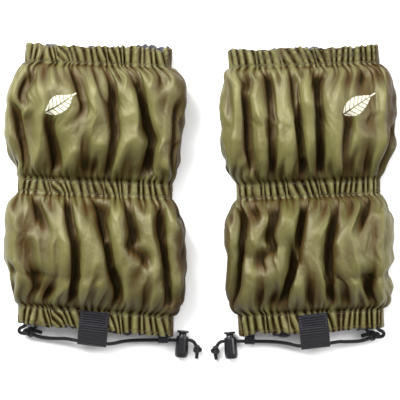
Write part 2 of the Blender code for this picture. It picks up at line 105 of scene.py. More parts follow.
CORD_RADIUS = 0.0015
RIB = 0.002  # between the webbing's crosswise ribs
KEEPER_WIDE, KEEPER_THICK = 0.025, 0.0012
KEEPER_PIVOT = (-0.001, 0.008, 0.0)
KEEPER_TURN = math.radians(-6.5)
KEEPER_LEGS_Z = (0.02145, 0.01505)
CORD_AT_KEEPER = (-0.0031, -0.0102, 0.0115)
CORD_AT_SIDE_LOOP = (0.0576, -0.0086, 0.0062)
CORD_AT_ANCHOR = (-0.0552, 0.0074, 0.011)
LOCK_PLACE = (0.0742, -0.0086, 0.0061)
LOCK_TURN = math.radians(-4.5)

CORD_ROUTE = mm(
    (-53.5, -3.6, 5.7), (-50.8, -5, 5.6), (-47, -6.1, 5.6), (-42, -6.8, 6), (-34, -7.2, 7),
    (-26, -7.3, 8.5), (-20, -8.1, 10.4), (-15.5, -8.8, 11.5), (-9.3, -9.5, 11.5), (-3.1, -10.2, 11.5),
    (3.1, -10.9, 11.5), (9.3, -11.6, 11.5), (15, -11.3, 10.1), (22, -9.9, 7.8), (30, -9, 6.4),
    (38, -8.7, 6), (46, -8.6, 6.2), (57.5, -8.6, 6.2), (64, -8.6, 6.1), (72, -8.6, 6.1),
    (79.7, -8.6, 6.1), (82.2, -9.1, 6), (84.2, -10.5, 5.6), (85.3, -12.2, 5.1), (86.2, -14.4, 4.6),
)
ANCHOR_BIGHT = mm(
    (-57, -2.5, 6), (-61.5, -2.9, 6.5), (-64.8, -2, 7.6), (-65.6, 0.2, 9), (-64.1, 2.1, 10.3),
    (-62, 3, 10.9), (-60.1, 4.5, 11.2), (-59, 6.4, 11.1), (-57.4, 7.4, 11), (-55.2, 7.4, 11),
    (-52.9, 7.3, 11), (-51.2, 5.7, 10.6), (-51, 3.3, 9.2), (-53, 0.4, 7),
)
ANCHOR_TAIL = mm((-56, 0, 6.8), (-51, -0.8, 6.4), (-46.2, -2.2, 5.4))
END_TAIL = mm((87.1, -16.5, 3.6), (86.8, -20.5, 2.4), (86.2, -24.5, 1.9))
# Each knot: its middle, and its half size
ANCHOR_KNOT = mm((-57, -1.6, 6), (4.3, 3.4, 2.6))
END_KNOT = mm((87.1, -16.3, 4.2), (2.7, 2.5, 2.1))

# --- The cloth ---

PLEATS, COLUMNS_PER_PLEAT = 52, 8
COLUMNS = PLEATS * COLUMNS_PER_PLEAT
COLUMN = 0.00097  # of cloth between two columns
PLEAT_HEIGHT = 0.002
EDGE = 0.0012  # the turn of the cloth at the two open ends
SLACK = 1.07  # cloth along a puff, against its straight length
ROW_COUNTS = (12, 46, 9, 46, 11)  # bottom hem, lower puff, middle band, upper puff, top hem
STITCH_ROWS_AT = (0.0022, 0.0155, 0.1164, 0.1268, 0.2285, 0.2401)
CLOTH_THICK = 0.00022
BAND_HEIGHT, PUFF_RISE = 0.0195, 0.018  # of the smooth section
RESTING = 0.0006  # the cloth's lowest points, over the floor
HEM_DEPTH = 0.0034
HEM_ROW = 0.0014  # of cloth between two rows inside the hems
WAVES = 0.0009
STEEP, GENTLE, NARROW = 0.5, 1.4, 0.6  # the flanks of a main fold, and its width
FADE = 0.1  # share of a puff over which a main fold ends
CREASES = (((7, 16), 0.0037), ((14, 34), 0.0016))  # cells up and round, and height
FLOW = 0.66  # how far columns follow the folds, from 0 to 1
THREADS = 0.00042  # between the threads that the weave shows
LEAF_HALF, PRINT_REACH = 0.0155, 0.018
ELASTIC_DEPTHS = (0.00165, 0.00235)  # of its two faces, inside the smooth section
THREAD_RADIUS = 0.00017
STITCH, SEAM_STITCH = (0.0021, 0.0007), (0.0024, 0.0008)  # length and gap
FLOOR_HALF = 4.0

# The solver: how strongly the cloth keeps its first and last shape, and resists shear and bending
SETTLE_STEPS, DAMPING, TINY = 200, 0.85, 1e-9
MEMORY, BAND_MEMORY = (0.07, 0.016), 0.35
SHEAR = 0.4
BEND = (0.32, 0.24, 0.12)  # over 2, 4 and 8 columns
BEND_UP = (0.2, 0.1)  # over 2 and 4 rows

# The main folds that the cloth of each puff lies in, on its front: depth and half width in mm, and
# the way of its valley from knee to foot, as (mm across from the middle, % of the puff's length)
LOWER_FOLDS = (
    (9, 5, ((-20, 98), (-24, 88), (-17, 57), (-17, 30), (-19, 4))),
    (11.5, 4.2, ((2, 98), (4, 88), (10, 58), (13.6, 36), (19, 24), (22, 8))),
    (8, 4, ((26, 95), (30, 80), (34, 67))),
    (6, 3, ((34, 67), (26.5, 58.5), (43.4, 49))),
    (10, 6, ((55, 80), (57.8, 61.5), (61, 40), (64, 18))),
    (7.5, 4.5, ((-72, 30), (-64, 38.5), (-56, 36), (-49, 22), (-43, 6))),
    (6, 3.5, ((-53, 98), (-50, 88), (-43, 77))),
    (3, 3.5, ((42, 22), (43, 4))),
    (3, 3, ((-2, 30), (1, 15), (0, 3))),
)
FOLDS = {
    ("left", 0): LOWER_FOLDS,
    ("right", 0): LOWER_FOLDS,
    ("left", 1): (
        (8, 4.5, ((-44, 99), (-49, 93), (-58, 82), (-67, 71))),
        (7, 5, ((-72, 55), (-64, 30), (-56, 2))),
        (6, 4.5, ((-40, 45), (-37, 35), (-29, 5))),
        (5.5, 3, ((-10, 98), (0, 93), (5.5, 76))),
        (9, 6, ((13, 78), (14, 70), (17, 40), (9.5, 2))),
        (13, 5, ((30, 99), (34, 88), (44, 47), (48.5, 37), (39, 3))),
        (3, 5, ((71, 62), (70, 27))),
        (4.5, 3.5, ((-24, 98), (-16, 82), (-9, 64))),
        (3.5, 4.5, ((-8, 30), (-7, 5))),
        (3, 4, ((60, 98), (58, 85))),
    ),
    ("right", 1): (
        (8, 4.5, ((42, 99), (54, 75), (52, 30), (42, 2))),
        (8.5, 4.5, ((32, 97), (32, 50), (32, 3))),
        (10, 4.2, ((12, 98), (10, 46), (4, 4))),
        (9, 5, ((-7, 98), (-8, 50), (-8, 2))),
        (6.5, 4.5, ((-33, 48), (-31, 36), (-27.5, 2))),
        (5, 4.5, ((-73, 38), (-66, 20), (-58, 3))),
        (3, 4, ((66, 85), (68, 50))),
        (3.5, 4, ((-20, 98), (-21, 85))),
        (3, 4, ((-50, 20), (-47, 3))),
    ),
}


def bell(x):
    return np.exp(-(x**2))


def rows():
    """Each row's distance up the leg, and the length of cloth between it and the next."""
    lengths = (BOTTOM_HEM - EDGE, PUFFS[0][1] - PUFFS[0][0], MID_BAND[1] - MID_BAND[0])
    lengths += (PUFFS[1][1] - PUFFS[1][0], TOP_HEM - EDGE)
    along, cloth = [EDGE], []
    for i, (length, count) in enumerate(zip(lengths, ROW_COUNTS)):
        start = along[-1]
        along += [start + length / count * (k + 1) for k in range(count)]
        cloth += [length / count * (SLACK if i in (1, 3) else 1.0)] * count
    return np.array(along), np.array(cloth)


def from_bands(along):
    """How far each row is from the nearest band."""
    gaps = [np.maximum(0, np.maximum(low - along, along - high)) for low, high in BANDS]
    return np.min(gaps, axis=0)


def section(hand, along, share):
    """The smooth section's points and outward normals, (x, z, nx, nz), at shares of the way round.

    It starts at the middle of the back and goes round by the outer side and the front."""
    full, spread = np.zeros_like(along), np.zeros_like(along)
    for (low, high), skew in zip(PUFFS, (0.84, 1.25)):
        t = np.clip((along - low) / (high - low), 0, 1)
        full = np.maximum(full, 1 - np.abs(2 * t - 1) ** 3.5)
        spread = np.maximum(spread, 1 - np.abs(2 * t**skew - 1) ** 5)
    bottom, lower, middle, upper, top = HANDS[hand]["half_widths"]
    band = np.interp(along, (BOTTOM_HEM, *MID_BAND, PUFFS[1][1]), (bottom, middle, middle, top))
    puff = np.where(along < MID_BAND[0], lower, upper)
    phase = HANDS[hand]["phase"]
    uneven = np.sin(along * 175 + phase) + 0.6 * np.sin(along * 410 + 2.3 * phase)
    wide = band + (puff - band) * spread - 0.0006 * full * (1.2 + uneven)
    low = np.maximum(0.0, 0.002 * (1 - 2 * full)) + RESTING
    high = BAND_HEIGHT + PUFF_RISE * full
    crown = 0.0005 + 0.007 * full
    radius = (high - low) / 2
    straight = wide - radius
    middle = (high + low) / 2
    turn = math.pi * radius
    way = share * (4 * straight + 2 * turn)
    across = way - 2 * straight - turn
    zero, one = np.zeros_like(way), np.ones_like(way)

    def round_side(angle, side):
        cos, sin = np.cos(angle), np.sin(angle)
        return side * straight + radius * cos, middle + radius * sin, cos, sin

    corners = (straight, straight + turn, 3 * straight + turn, 3 * straight + 2 * turn)
    parts = (
        (-way, low + zero, zero, -one),
        round_side(-math.pi / 2 - (way - straight) / radius, -1),
        (across, high + crown * (1 - (across / straight) ** 2), zero, one),
        round_side(math.pi / 2 - (way - 3 * straight - turn) / radius, 1),
    )
    rest = (4 * straight + 2 * turn - way, low + zero, zero, -one)
    cases = [way < corner for corner in corners]
    return [np.select(cases, choices, other) for *choices, other in zip(*parts, rest)]


def smooth_noise(rng, shape, cells):
    """A smooth random field that joins up across."""
    grid = rng.standard_normal((cells[0] + 3, cells[1]))
    down = np.linspace(0, cells[0], shape[0])
    over = np.arange(shape[1]) / shape[1] * cells[1]
    j, i = down.astype(int), over.astype(int)
    u, v = (over - i)[None], (down - j)[:, None]
    u, v = u * u * (3 - 2 * u), v * v * (3 - 2 * v)
    i_next = (i + 1) % cells[1]
    upper, lower = (grid[k][:, i] * (1 - u) + grid[k][:, i_next] * u for k in (j, j + 1))
    return upper * (1 - v) + lower * v


def placed_folds(hand, along, across):
    """How far the main folds push the front inwards."""
    pushed = np.zeros(np.broadcast(along, across).shape)
    for puff, (low, high) in enumerate(PUFFS):
        share = (along - low) / (high - low)
        # A sharp valley: one flank is steep, and the other one rises slowly to a broad ridge
        steep_side = -1 if (hand, puff) == ("right", 1) else 1
        for depth, width, way in FOLDS[hand, puff]:
            at, shares = np.array(way[::-1]).T / ((1,), (100,))
            centre = np.interp(share, shares, at * MM)
            ends = np.clip((share - shares[0]) / FADE + 1, 0, 1)
            ends = ends * np.clip((shares[-1] - share) / FADE + 1, 0, 1)
            ends = ends * ends * (3 - 2 * ends) * ((share > 0) & (share < 1))
            ends = ends * (0.15 + 0.85 * np.clip(np.minimum(share, 1 - share) / 0.16, 0, 1))
            slant = np.gradient(centre[:, 0], along[:, 0])[:, None]
            wide = NARROW * width * MM * np.sqrt(1 + np.minimum(slant, 2) ** 2)
            off = steep_side * (across - centre) / wide
            off = np.where(off < 0, -off / STEEP, off / GENTLE)
            pushed += depth * MM * ends * np.exp(-(np.sqrt(off * off + 0.04) - 0.2))
    return pushed


def round_print(hand, across, along):
    """1 at the middle of the print, falling to 0 round it."""
    x, y = HANDS[hand]["print_at"]
    return np.exp(-((across - x) ** 2 + (along - y) ** 2) / PRINT_REACH**2)


def begun_cloth(hand, rng, along):
    """Where the cloth starts, (x, z), the smooth section under it and that section's normals."""
    fine = 6 * COLUMNS
    share = (np.arange(fine) / fine)[None]
    column = along[:, None]
    x, z, nx, nz = section(hand, column, share)
    front = 1 / (1 + np.exp(-(z - 0.012) / 0.002))
    gap = from_bands(along)[:, None]
    shape = (len(along), fine)

    # Pleats of uneven width at the bands, wider waves beside them and the main folds further off
    steps = np.concatenate([[0], np.cumsum(0.35 + 1.3 * rng.random(PLEATS))])
    phase = np.interp(share[0], steps / steps[-1], np.arange(PLEATS + 1))
    uneven = 1 + 0.4 * smooth_noise(rng, shape, (14, PLEATS))
    slant = 42 * smooth_noise(rng, (1, fine), (1, 13)) + 24
    middles = np.array([sum(band) / 2 for band in BANDS])
    from_middle = column - middles[np.abs(column - middles).argmin(axis=1)][:, None]
    phase = phase - HANDS[hand]["side"] * slant * from_middle * bell(gap / 0.006)
    tops = 1 - 2 * np.exp(-(((1 - np.abs(2 * (phase % 1) - 1)) / 0.4) ** 1.6))
    pinch = 1 + 0 * column
    for at in STITCH_ROWS_AT:
        pinch = pinch - 0.45 * bell((column - at) / 0.0008)
    pleats = PLEAT_HEIGHT * uneven * pinch * tops * np.exp(-((gap / 0.008) ** 1.3))
    far = 1 - bell(gap / 0.02)
    waves = 0.0024 * smooth_noise(rng, shape, (9, 34)) * bell((gap - 0.012) / 0.012)
    waves += WAVES * smooth_noise(rng, shape, (6, 18)) * far * (0.5 + 0.5 * front)
    waves *= 1 - 0.85 * front * round_print(hand, x, column)
    back = 0.0034 * np.abs(smooth_noise(rng, shape, (6, 16))) * far * (1 - front)
    folds = waves - placed_folds(hand, column, x) * front - back

    def steps_round(depth):
        f = pleats + depth * folds
        dx, dz = (np.diff(c, axis=1, append=c[:, :1]) for c in (x + nx * f, z + nz * f))
        return np.sqrt(dx * dx + dz * dz)

    # Deepen or flatten the folds of each row until it takes up its cloth
    shallow, deep = np.full((len(along), 1), 0.3), np.full((len(along), 1), 2.2)
    for _ in range(16):
        depth = (shallow + deep) / 2
        short = steps_round(depth).sum(axis=1, keepdims=True) < COLUMNS * COLUMN
        shallow, deep = np.where(short, depth, shallow), np.where(short, deep, depth)
    depth = np.convolve(np.pad(depth[:, 0], 4, mode="edge"), np.ones(9) / 9, mode="valid")[:, None]
    offset = pleats + depth * folds
    way = np.cumsum(np.pad(steps_round(depth), ((0, 0), (1, 0))), axis=1)
    way = FLOW * way / way[:, -1:] + (1 - FLOW) * np.arange(fine + 1) / fine

    wanted = np.arange(COLUMNS) / COLUMNS
    taken = [
        [np.interp(wanted, row_way, [*row, row[0]]) for row_way, row in zip(way, grid)]
        for grid in (x, z, nx, nz, offset)
    ]
    base, normal, offset = np.array(taken[:2]), np.array(taken[2:4]), np.array(taken[4])
    return base + normal * offset, base, normal


def settle(points, weight, cloth, base, normal, deepest, highest, bendy):
    """Lets the cloth find its shape. points are (xyz, gaiter, row, column), and rows with no weight
    are held. bendy is how little each row resists bending, from 0 to 1."""
    along_way = np.concatenate([[0], np.cumsum(cloth)])
    diagonal = np.sqrt(COLUMN**2 + cloth**2)[:, None]
    count_rows, count = points.shape[2:]
    stiff = 1 - bendy
    home, before = points.copy(), points.copy()

    def link(a, b, rest, stiffness, only_short=False):
        """Moves the two ends of links towards their rest length apart."""
        a, b = (..., *a), (..., *b)
        step = points[b] - points[a]
        length = np.sqrt((step * step).sum(axis=0)) + TINY
        move = stiffness * (length - rest) / length
        if only_short:
            move = np.minimum(move, 0)
        move = move / (weight[a] + weight[b] + TINY)
        points[a] += step * (move * weight[a])
        points[b] -= step * (move * weight[b])

    def alternate(size, step):
        """Every second run of step indices, and then the runs between them."""
        return (np.nonzero((np.arange(size) // step) % 2 == first)[0] for first in (0, 1))

    def across(step, stiffness, only_short=False):
        for a in alternate(count, step):
            link((a,), ((a + step) % count,), step * COLUMN, stiffness, only_short)

    def up(step, stiffness, only_short=False):
        for a in alternate(count_rows - step, step):
            b, every = a + step, slice(None)
            rest = (along_way[b] - along_way[a])[:, None]
            link((a, every), (b, every), rest, stiffness, only_short)

    def slanting(direction, stiffness):
        for a in alternate(count, 1):
            b = (a + direction) % count
            link((slice(None, -1), a), (slice(1, None), b), diagonal, stiffness)

    for i in range(SETTLE_STEPS):
        speed = (points - before) * DAMPING * (weight > 0)
        before[:] = points
        points += speed
        memory = MEMORY[0] + (MEMORY[1] - MEMORY[0]) * i / SETTLE_STEPS
        points += np.maximum(memory, BAND_MEMORY * bendy) * weight * (home - points)
        across(1, 1.0)
        up(1, 1.0)
        slanting(1, SHEAR)
        slanting(-1, SHEAR)
        across(2, BEND[0] * stiff, True)
        up(2, BEND_UP[0], True)
        up(4, BEND_UP[1], True)
        across(4, BEND[1] * stiff, True)
        across(8, BEND[2] * stiff, True)
        offset = stand_off(points, base, normal)
        over = 0.3 * np.maximum(offset - highest, 0) + 0.5 * np.minimum(offset + deepest, 0)
        points -= normal * over * (weight > 0)
        np.maximum(points[2], 0.0004, out=points[2])


def stand_off(points, base, normal):
    """How far the cloth stands off its smooth section."""
    return ((points - base) * normal).sum(axis=0)


def settled_cloth():
    """The settled cloth of each sleeve, before it leans over. Its grids are (xyz, row, column)."""
    along, cloth = rows()
    rng = np.random.default_rng(3)
    starts, bases, normals = zip(*(begun_cloth(hand, rng, along) for hand in HANDS))
    shape = (len(HANDS), len(along), COLUMNS)

    def joined(parts, middle):
        x, z = np.stack(parts, axis=1)
        return np.stack([x, np.broadcast_to(middle, shape), z])

    points = joined(starts, along[:, None]).copy()
    base, normal = joined(bases, along[:, None]), joined(normals, 0.0)
    weight = np.ones(shape)
    held = [int(np.abs(along - at).argmin()) for at in STITCH_ROWS_AT]
    weight[:, from_bands(along) == 0] = 0
    gap = from_bands(along)[:, None]
    deepest = 0.0015 + 0.0145 * (1 - bell(gap / 0.015))
    sides = np.abs(normal[0]) > 0.5
    highest = np.where(sides, 0.0004, 0.0026 + 0.001 * (gap > 0))

    # The webbing keeper holds the pleats under it down
    for g, hand in enumerate(HANDS):
        keeper = fitted(hand, KEEPER_PIVOT)
        x, y = lay(hand, base[0, g], base[1, g])
        under = (np.abs(x - keeper.x) < 0.0145) & (y < 0.0185) & (normal[2, g] > 0.9)
        highest[g][under] = 0.0008
    settle(points, weight, cloth, base, normal, deepest, highest, np.exp(-gap / 0.004))
    # The nylon is too crisp for fine ripples, so these are taken out, and the main folds kept
    offset = stand_off(points, base, normal)
    calm = np.median([np.roll(offset, k, axis=2) for k in range(-4, 5)], axis=0)
    calm = (np.roll(calm, 1, axis=2) + calm + np.roll(calm, -1, axis=2)) / 3
    points += normal * (calm - offset) * (1 - bell(gap / 0.008))

    # Small crisp creases between the main folds
    for g, hand in enumerate(HANDS):
        creases = np.zeros(shape[1:])
        for cells, height in CREASES:
            creases += height * (0.5 - np.abs(smooth_noise(rng, shape[1:], cells)))
        away = 1 - bell(gap / 0.01)
        clear = round_print(hand, base[0, g], along[:, None])
        away = away * (1 - 0.8 * clear * (normal[2, g] > 0))
        points[:, g] += normal[:, g] * creases * away

    # In the bands the cloth lies outside the elastic, and under the keeper it is pressed flat
    offset = stand_off(points, base, normal)
    points -= normal * np.maximum(offset - highest, 0) * (highest < 0.001)
    points -= normal * np.minimum(offset + 0.0015, 0) * bell(gap / 0.002)
    points[2] = np.maximum(points[2], RESTING)
    offset = stand_off(points, base, normal)
    return {
        hand: SimpleNamespace(
            points=points[:, g], normal=normal[:, g], offset=offset[g], along=along, held=held
        )
        for g, hand in enumerate(HANDS)
    }


# --- From each gaiter's own frame to the row frame ---


def lay(hand, across, along):
    """Leans the straight sleeve over as it lies."""
    how = HANDS[hand]
    lean = np.interp(along, LEAN_STATIONS, how["leans"])
    return across + np.interp(along, SHIFT_STATIONS, how["shifts"]), along - lean * across


def laid(hand, points):
    """A straight (xyz, row, column) grid as it lies, as (row, column, xyz)."""
    x, y = lay(hand, points[0], points[1])
    return np.stack([x, y, points[2]], axis=2)


def fitted(hand, point):
    """Where a fitting lies on this gaiter."""
    x, y = (np.interp(point[0], HARDWARE_STATIONS, shift) for shift in zip(*HANDS[hand]["hardware"]))
    return Vector((point[0] + x, point[1] + y, point[2]))


def placed(hand, points):
    """Points (n, 3) of a gaiter's own frame, in the row frame."""
    points = np.asarray(points, float)
    x, y = HANDS[hand]["place"]
    return np.stack([x - HANDS[hand]["side"] * points[:, 0], y + points[:, 1], points[:, 2]], axis=1)


def turned_to(points, turn, place):
    """Points turned about Z and then moved to a place."""
    return points @ np.array(Matrix.Rotation(turn, 3, "Z")).T + np.array(place)


# --- Mesh helpers ---


def add_object(name, data):
    made = bpy.data.objects.new(name, data)
    bpy.context.scene.collection.objects.link(made)
    return made


def add_mesh(hand, name, points, faces, material, replaces=None, body="gaiter", smooth=180, **marks):
    """A piece made in a gaiter's own frame, shown in the row frame and riding on its body.

    marks are the attributes of its points that the materials read."""
    mesh = bpy.data.meshes.new(f"{hand}_{name}")
    mesh.from_pydata(placed(hand, points).tolist(), [], [list(map(int, f)) for f in faces])
    if HANDS[hand]["side"] > 0:
        mesh.flip_normals()
    mesh.materials.append(bpy.data.materials[material])
    mesh.shade_smooth()
    if smooth < 180:
        mesh.set_sharp_from_angle(angle=math.radians(smooth))
    piece = add_object(f"{hand}_{name}", mesh)
    if body:
        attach(piece, f"{hand}_{body}")
    if replaces:
        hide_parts(f"{hand}_{replaces}")
    for mark, values in marks.items():
        values = np.asarray(values, np.float32)
        kind, field = ("FLOAT", "value") if values.ndim == 1 else ("FLOAT_VECTOR", "vector")
        piece.data.attributes.new(mark, kind, "POINT").data.foreach_set(field, values.ravel())
    return piece


def grid_faces(count_rows, count, closed_round, closed_up=False):
    """Quads of a grid of rows of points."""
    over = np.arange(count if closed_round else count - 1)
    down = np.arange(count_rows if closed_up else count_rows - 1)
    i, j = (c.ravel() for c in np.meshgrid(over, down))
    i_next, j_next = (i + 1) % count, (j + 1) % count_rows
    quads = (j * count + i, j * count + i_next, j_next * count + i_next, j_next * count + i)
    return np.stack(quads, axis=1)


def add_cloth(hand, name, grid, at, closed, *look, **more):
    """A piece of a (row, column, xyz) grid. at is the cloth's own place of its columns and rows."""
    s, t = np.meshgrid(*at)
    faces = grid_faces(*grid.shape[:2], *closed)
    where = np.stack([s, t, 0 * s], axis=2).reshape(-1, 3)
    return add_mesh(hand, name, grid.reshape(-1, 3), faces, *look, cloth=where, **more)


def thicken(piece, inner_material=0):
    """Gives a sheet its thickness. inner_material is how many places on its inner side's one is."""
    thick = piece.modifiers.new("thickness", "SOLIDIFY")
    thick.thickness, thick.offset, thick.material_offset = CLOTH_THICK, -1, inner_material


def distances(line):
    """How far along a line each of its points is."""
    return np.concatenate([[0], np.cumsum(np.linalg.norm(np.diff(line, axis=0), axis=1))])


def smooth_line(route, step):
    """Points about step apart on a smooth curve through the route's points."""
    route = [Vector(point) for point in route]
    route = [2 * route[0] - route[1], *route, 2 * route[-1] - route[-2]]
    line = [route[1]]
    for before, a, b, after in zip(route, route[1:], route[2:], route[3:]):
        count = max(1, round((b - a).length / step))
        for k in range(1, count + 1):
            t = k / count
            cubic = (3 * a - before - 3 * b + after) * t**3
            square = (2 * before - 5 * a + 4 * b - after) * t**2
            line.append((2 * a + (b - before) * t + square + cubic) / 2)
    return line


def tube(line, radius, sides=14, closed=False):
    """Points, faces and (along, around) of a round tube on a line of points."""
    line = np.array([tuple(p) for p in line])
    if closed:
        tangents = np.roll(line, -1, axis=0) - np.roll(line, 1, axis=0)
    else:
        tangents = np.gradient(line, axis=0)
    tangents /= np.linalg.norm(tangents, axis=1, keepdims=True)
    side = np.cross(tangents[0], (0, 0, 1))
    if np.linalg.norm(side) < 0.1:
        side = np.cross(tangents[0], (0, 1, 0))
    over = []
    for tangent in tangents:
        side = side - tangent * side.dot(tangent)
        side = side / np.linalg.norm(side)
        over.append(side)
    up = np.cross(tangents, over)[:, None]
    angle = (2 * math.pi * np.arange(sides) / sides)[None, :, None]
    points = line[:, None] + radius * (np.array(over)[:, None] * np.cos(angle) + up * np.sin(angle))
    where = np.stack(np.broadcast_arrays(distances(line)[:, None], angle[..., 0], 0.0), axis=2)
    faces = grid_faces(len(line), sides, True, closed).tolist()
    if not closed:
        faces += end_faces(len(line), sides)
    return points.reshape(-1, 3), faces, where.reshape(-1, 3)


def end_faces(count_rows, sides):
    """The faces that close the two ends of a grid that is closed round."""
    last = (count_rows - 1) * sides
    return [list(range(sides))[::-1], [last + i for i in range(sides)]]


def merged(parts):
    """Several (points, faces, where) as one."""
    points, faces, wheres = zip(*parts)
    starts = np.cumsum([0, *map(len, points)])
    faces = [[i + start for i in face] for part, start in zip(faces, starts) for face in part]
    return np.concatenate(points), faces, np.concatenate(wheres)


# --- Materials ---


class Nodes:
    """A material's shader, and short names for the nodes that feed it."""

    def __init__(self, name, **sockets):
        material = bpy.data.materials.new(name)
        material.use_nodes = True
        self.tree = material.node_tree
        self.shade(**sockets)

    def shade(self, **sockets):
        """Sets or links the shader's own inputs."""
        for name, value in sockets.items():
            name = name.replace("_", " ").title().replace("Ior", "IOR")
            self.put(value, self.tree.nodes["Principled BSDF"].inputs[name])

    def put(self, value, socket):
        if isinstance(value, bpy.types.NodeSocket):
            self.tree.links.new(value, socket)
        elif value is not None:
            socket.default_value = value

    def node(self, kind, inputs, output=0, **settings):
        """The output of a new node. Its inputs are named or in order, and are numbers or links."""
        node = self.tree.nodes.new("ShaderNode" + kind)
        for setting, value in settings.items():
            setattr(node, setting, value)
        for socket, value in inputs.items() if isinstance(inputs, dict) else enumerate(inputs):
            self.put(value, node.inputs[socket])
        return node.outputs[output]

    def math(self, operation, *values):
        return self.node("Math", values, operation=operation)

    def times(self, first, *others):
        for other in others:
            first = self.math("MULTIPLY", first, other)
        return first

    def plus(self, a, b):
        return self.math("ADD", a, b)

    def less(self, a, b):
        return self.math("LESS_THAN", a, b)

    def wave(self, value, length):
        return self.math("SINE", self.times(value, 2 * math.pi / length))

    def scaled(self, vector, scale):
        return self.node("VectorMath", {0: vector, "Scale": scale}, operation="SCALE")

    def attribute(self, name, output="Vector"):
        return self.node("Attribute", (), output, attribute_name=name)

    def split(self, vector):
        return self.node("SeparateXYZ", (vector,)).node.outputs

    def object_place(self):
        return self.node("TexCoord", (), "Object")

    def noise(self, vector, scale, detail=3.0, rough=0.5, stretch=None):
        if stretch is not None:
            vector = self.node("VectorMath", (vector, stretch), operation="MULTIPLY")
        inputs = {"Vector": vector, "Scale": scale, "Detail": detail, "Roughness": rough}
        return self.node("TexNoise", inputs, "Fac")

    def spread(self, value, low, high, to_low=0.0, to_high=1.0):
        numbers = {"From Min": low, "From Max": high, "To Min": to_low, "To Max": to_high}
        return self.node("MapRange", {"Value": value, **numbers}, "Result")

    def mix(self, share, *colours):
        a, b = ((*c, 1.0) if isinstance(c, tuple) else c for c in colours)
        return self.node("Mix", {"Factor": share, "A": a, "B": b}, "Result", data_type="RGBA")

    def bump(self, height, distance, strength=1.0, below=None):
        inputs = {"Distance": distance, "Strength": strength, "Height": height, "Normal": below}
        normal = self.node("Bump", inputs, "Normal")
        self.shade(normal=normal)
        return normal

    def plain_weave(self, cloth):
        column, row, _ = self.split(self.scaled(cloth, 2 * math.pi / THREADS))
        return self.times(self.math("SINE", column), self.math("SINE", row))


def nylon(hand, leaf_at):
    """Crisp coated plain-weave nylon with a pale leaf printed on it."""
    n = Nodes(f"{hand}_nylon", specular_tint=(1.0, 0.92, 0.7, 1.0))
    # fold is painted light and shade from the sleeve: 0 in the deepest painted shade, 1 for a painted
    # highlight
    cloth, fold = n.attribute("cloth"), n.attribute("fold", "Fac")
    patches = n.noise(cloth, 55, 3, 0.6, (1.0, 0.5, 1.0))
    threads = n.noise(cloth, 900, 2, 0.7, (1.0, 0.08, 1.0))
    # Painted highlight: a lighter olive on the ridges
    tone = n.mix(n.spread(fold, 0.6, 1.00), (0.046, 0.0375, 0.0098), (0.094, 0.088, 0.027))
    layers = (
        (patches, 0.45, 0.75, 0.4, (0.05, 0.031, 0.009)),  # brown patches, placed at random
        (patches, 0.45, 0.25, 0.28, (0.058, 0.06, 0.015)),  # green ones between them
        (fold, 0.62, 0.32, 1.0, (0.032, 0.0148, 0.0023)),  # painted shade: brown on the flanks of the folds
        (fold, 0.32, 0.04, 1.0, (0.0065, 0.002, 0.0005)),  # painted shade: near black in the valleys
        (threads, 0.3, 0.8, 0.12, (0.16, 0.15, 0.055)),
    )
    for value, start, end, most, colour in layers:
        tone = n.mix(n.spread(value, start, end, 0.0, most), tone, colour)

    # The leaf: a pointed oval with a middle rib and slanting side ribs left unprinted
    at = n.node("VectorMath", (cloth, (*leaf_at, 0.0)), operation="SUBTRACT")
    turn = math.radians(HANDS[hand]["print_turn"])
    at = n.node("VectorRotate", {"Vector": at, "Angle": turn}, rotation_type="Z_AXIS")
    x, y, _ = n.split(n.scaled(at, 1 / LEAF_HALF))
    off = n.math("ABSOLUTE", y)
    width = n.times(n.math("SUBTRACT", 1.0, n.times(x, x)), 0.44, n.plus(1.0, n.times(x, -0.3)))
    leaf = n.times(n.less(off, width), n.less(x, 1.0))
    rib = n.less(n.plus(0.03, n.times(x, -0.015)), off)
    side_ribs = n.less(0.17, n.math("FRACT", n.times(n.plus(x, n.times(off, -0.75)), 3.6)))
    stalk = n.times(n.less(off, 0.035), n.less(0.95, x), n.less(x, 1.28))
    flecks = n.spread(n.noise(cloth, 1500, 2, 0.6), 0.3, 0.42, 0.75, 1.0)
    printed = n.times(n.math("MAXIMUM", n.times(leaf, rib, side_ribs), stalk), flecks)

    rough = n.spread(n.noise(cloth, 220, 3, 0.6), 0.3, 0.7, 0.38, 0.5)
    n.shade(
        base_color=n.mix(printed, tone, (0.44, 0.425, 0.34)),
        roughness=n.plus(rough, n.times(printed, 0.2)),
        # The reflections are weaker in the painted shade of the folds
        specular_ior_level=n.spread(fold, 0.1, 0.66, 0.02, 0.44),
    )
    crinkle = n.bump(n.noise(cloth, 260, 4, 0.55, (1.0, 0.7, 1.0)), 0.001, 0.55)
    n.bump(n.plain_weave(cloth), 0.00003, 0.5, below=crinkle)


def lining():
    n = Nodes("dark_coated_lining", specular_ior_level=0.4, sheen_weight=0.1)
    cloth = n.attribute("cloth")
    n.shade(
        base_color=n.mix(n.noise(cloth, 90, 3), (0.014, 0.012, 0.017), (0.034, 0.03, 0.04)),
        roughness=n.spread(n.noise(cloth, 400, 2), 0.3, 0.7, 0.42, 0.6),
    )
    n.bump(n.plain_weave(cloth), 0.00003, 0.6)


def elastic():
    n = Nodes("woven_elastic", sheen_weight=0.3, specular_ior_level=0.3, roughness=0.8)
    column, row, _ = n.split(n.attribute("cloth"))
    ribs, picks = n.wave(row, 0.0011), n.wave(column, 0.0006)
    # Painted shade: darker in the grooves between the ribs
    n.shade(base_color=n.mix(n.spread(ribs, -1, 1), (0.42, 0.41, 0.38), (0.72, 0.71, 0.67)))
    n.bump(n.plus(ribs, n.times(picks, 0.4)), 0.0002, 0.6)


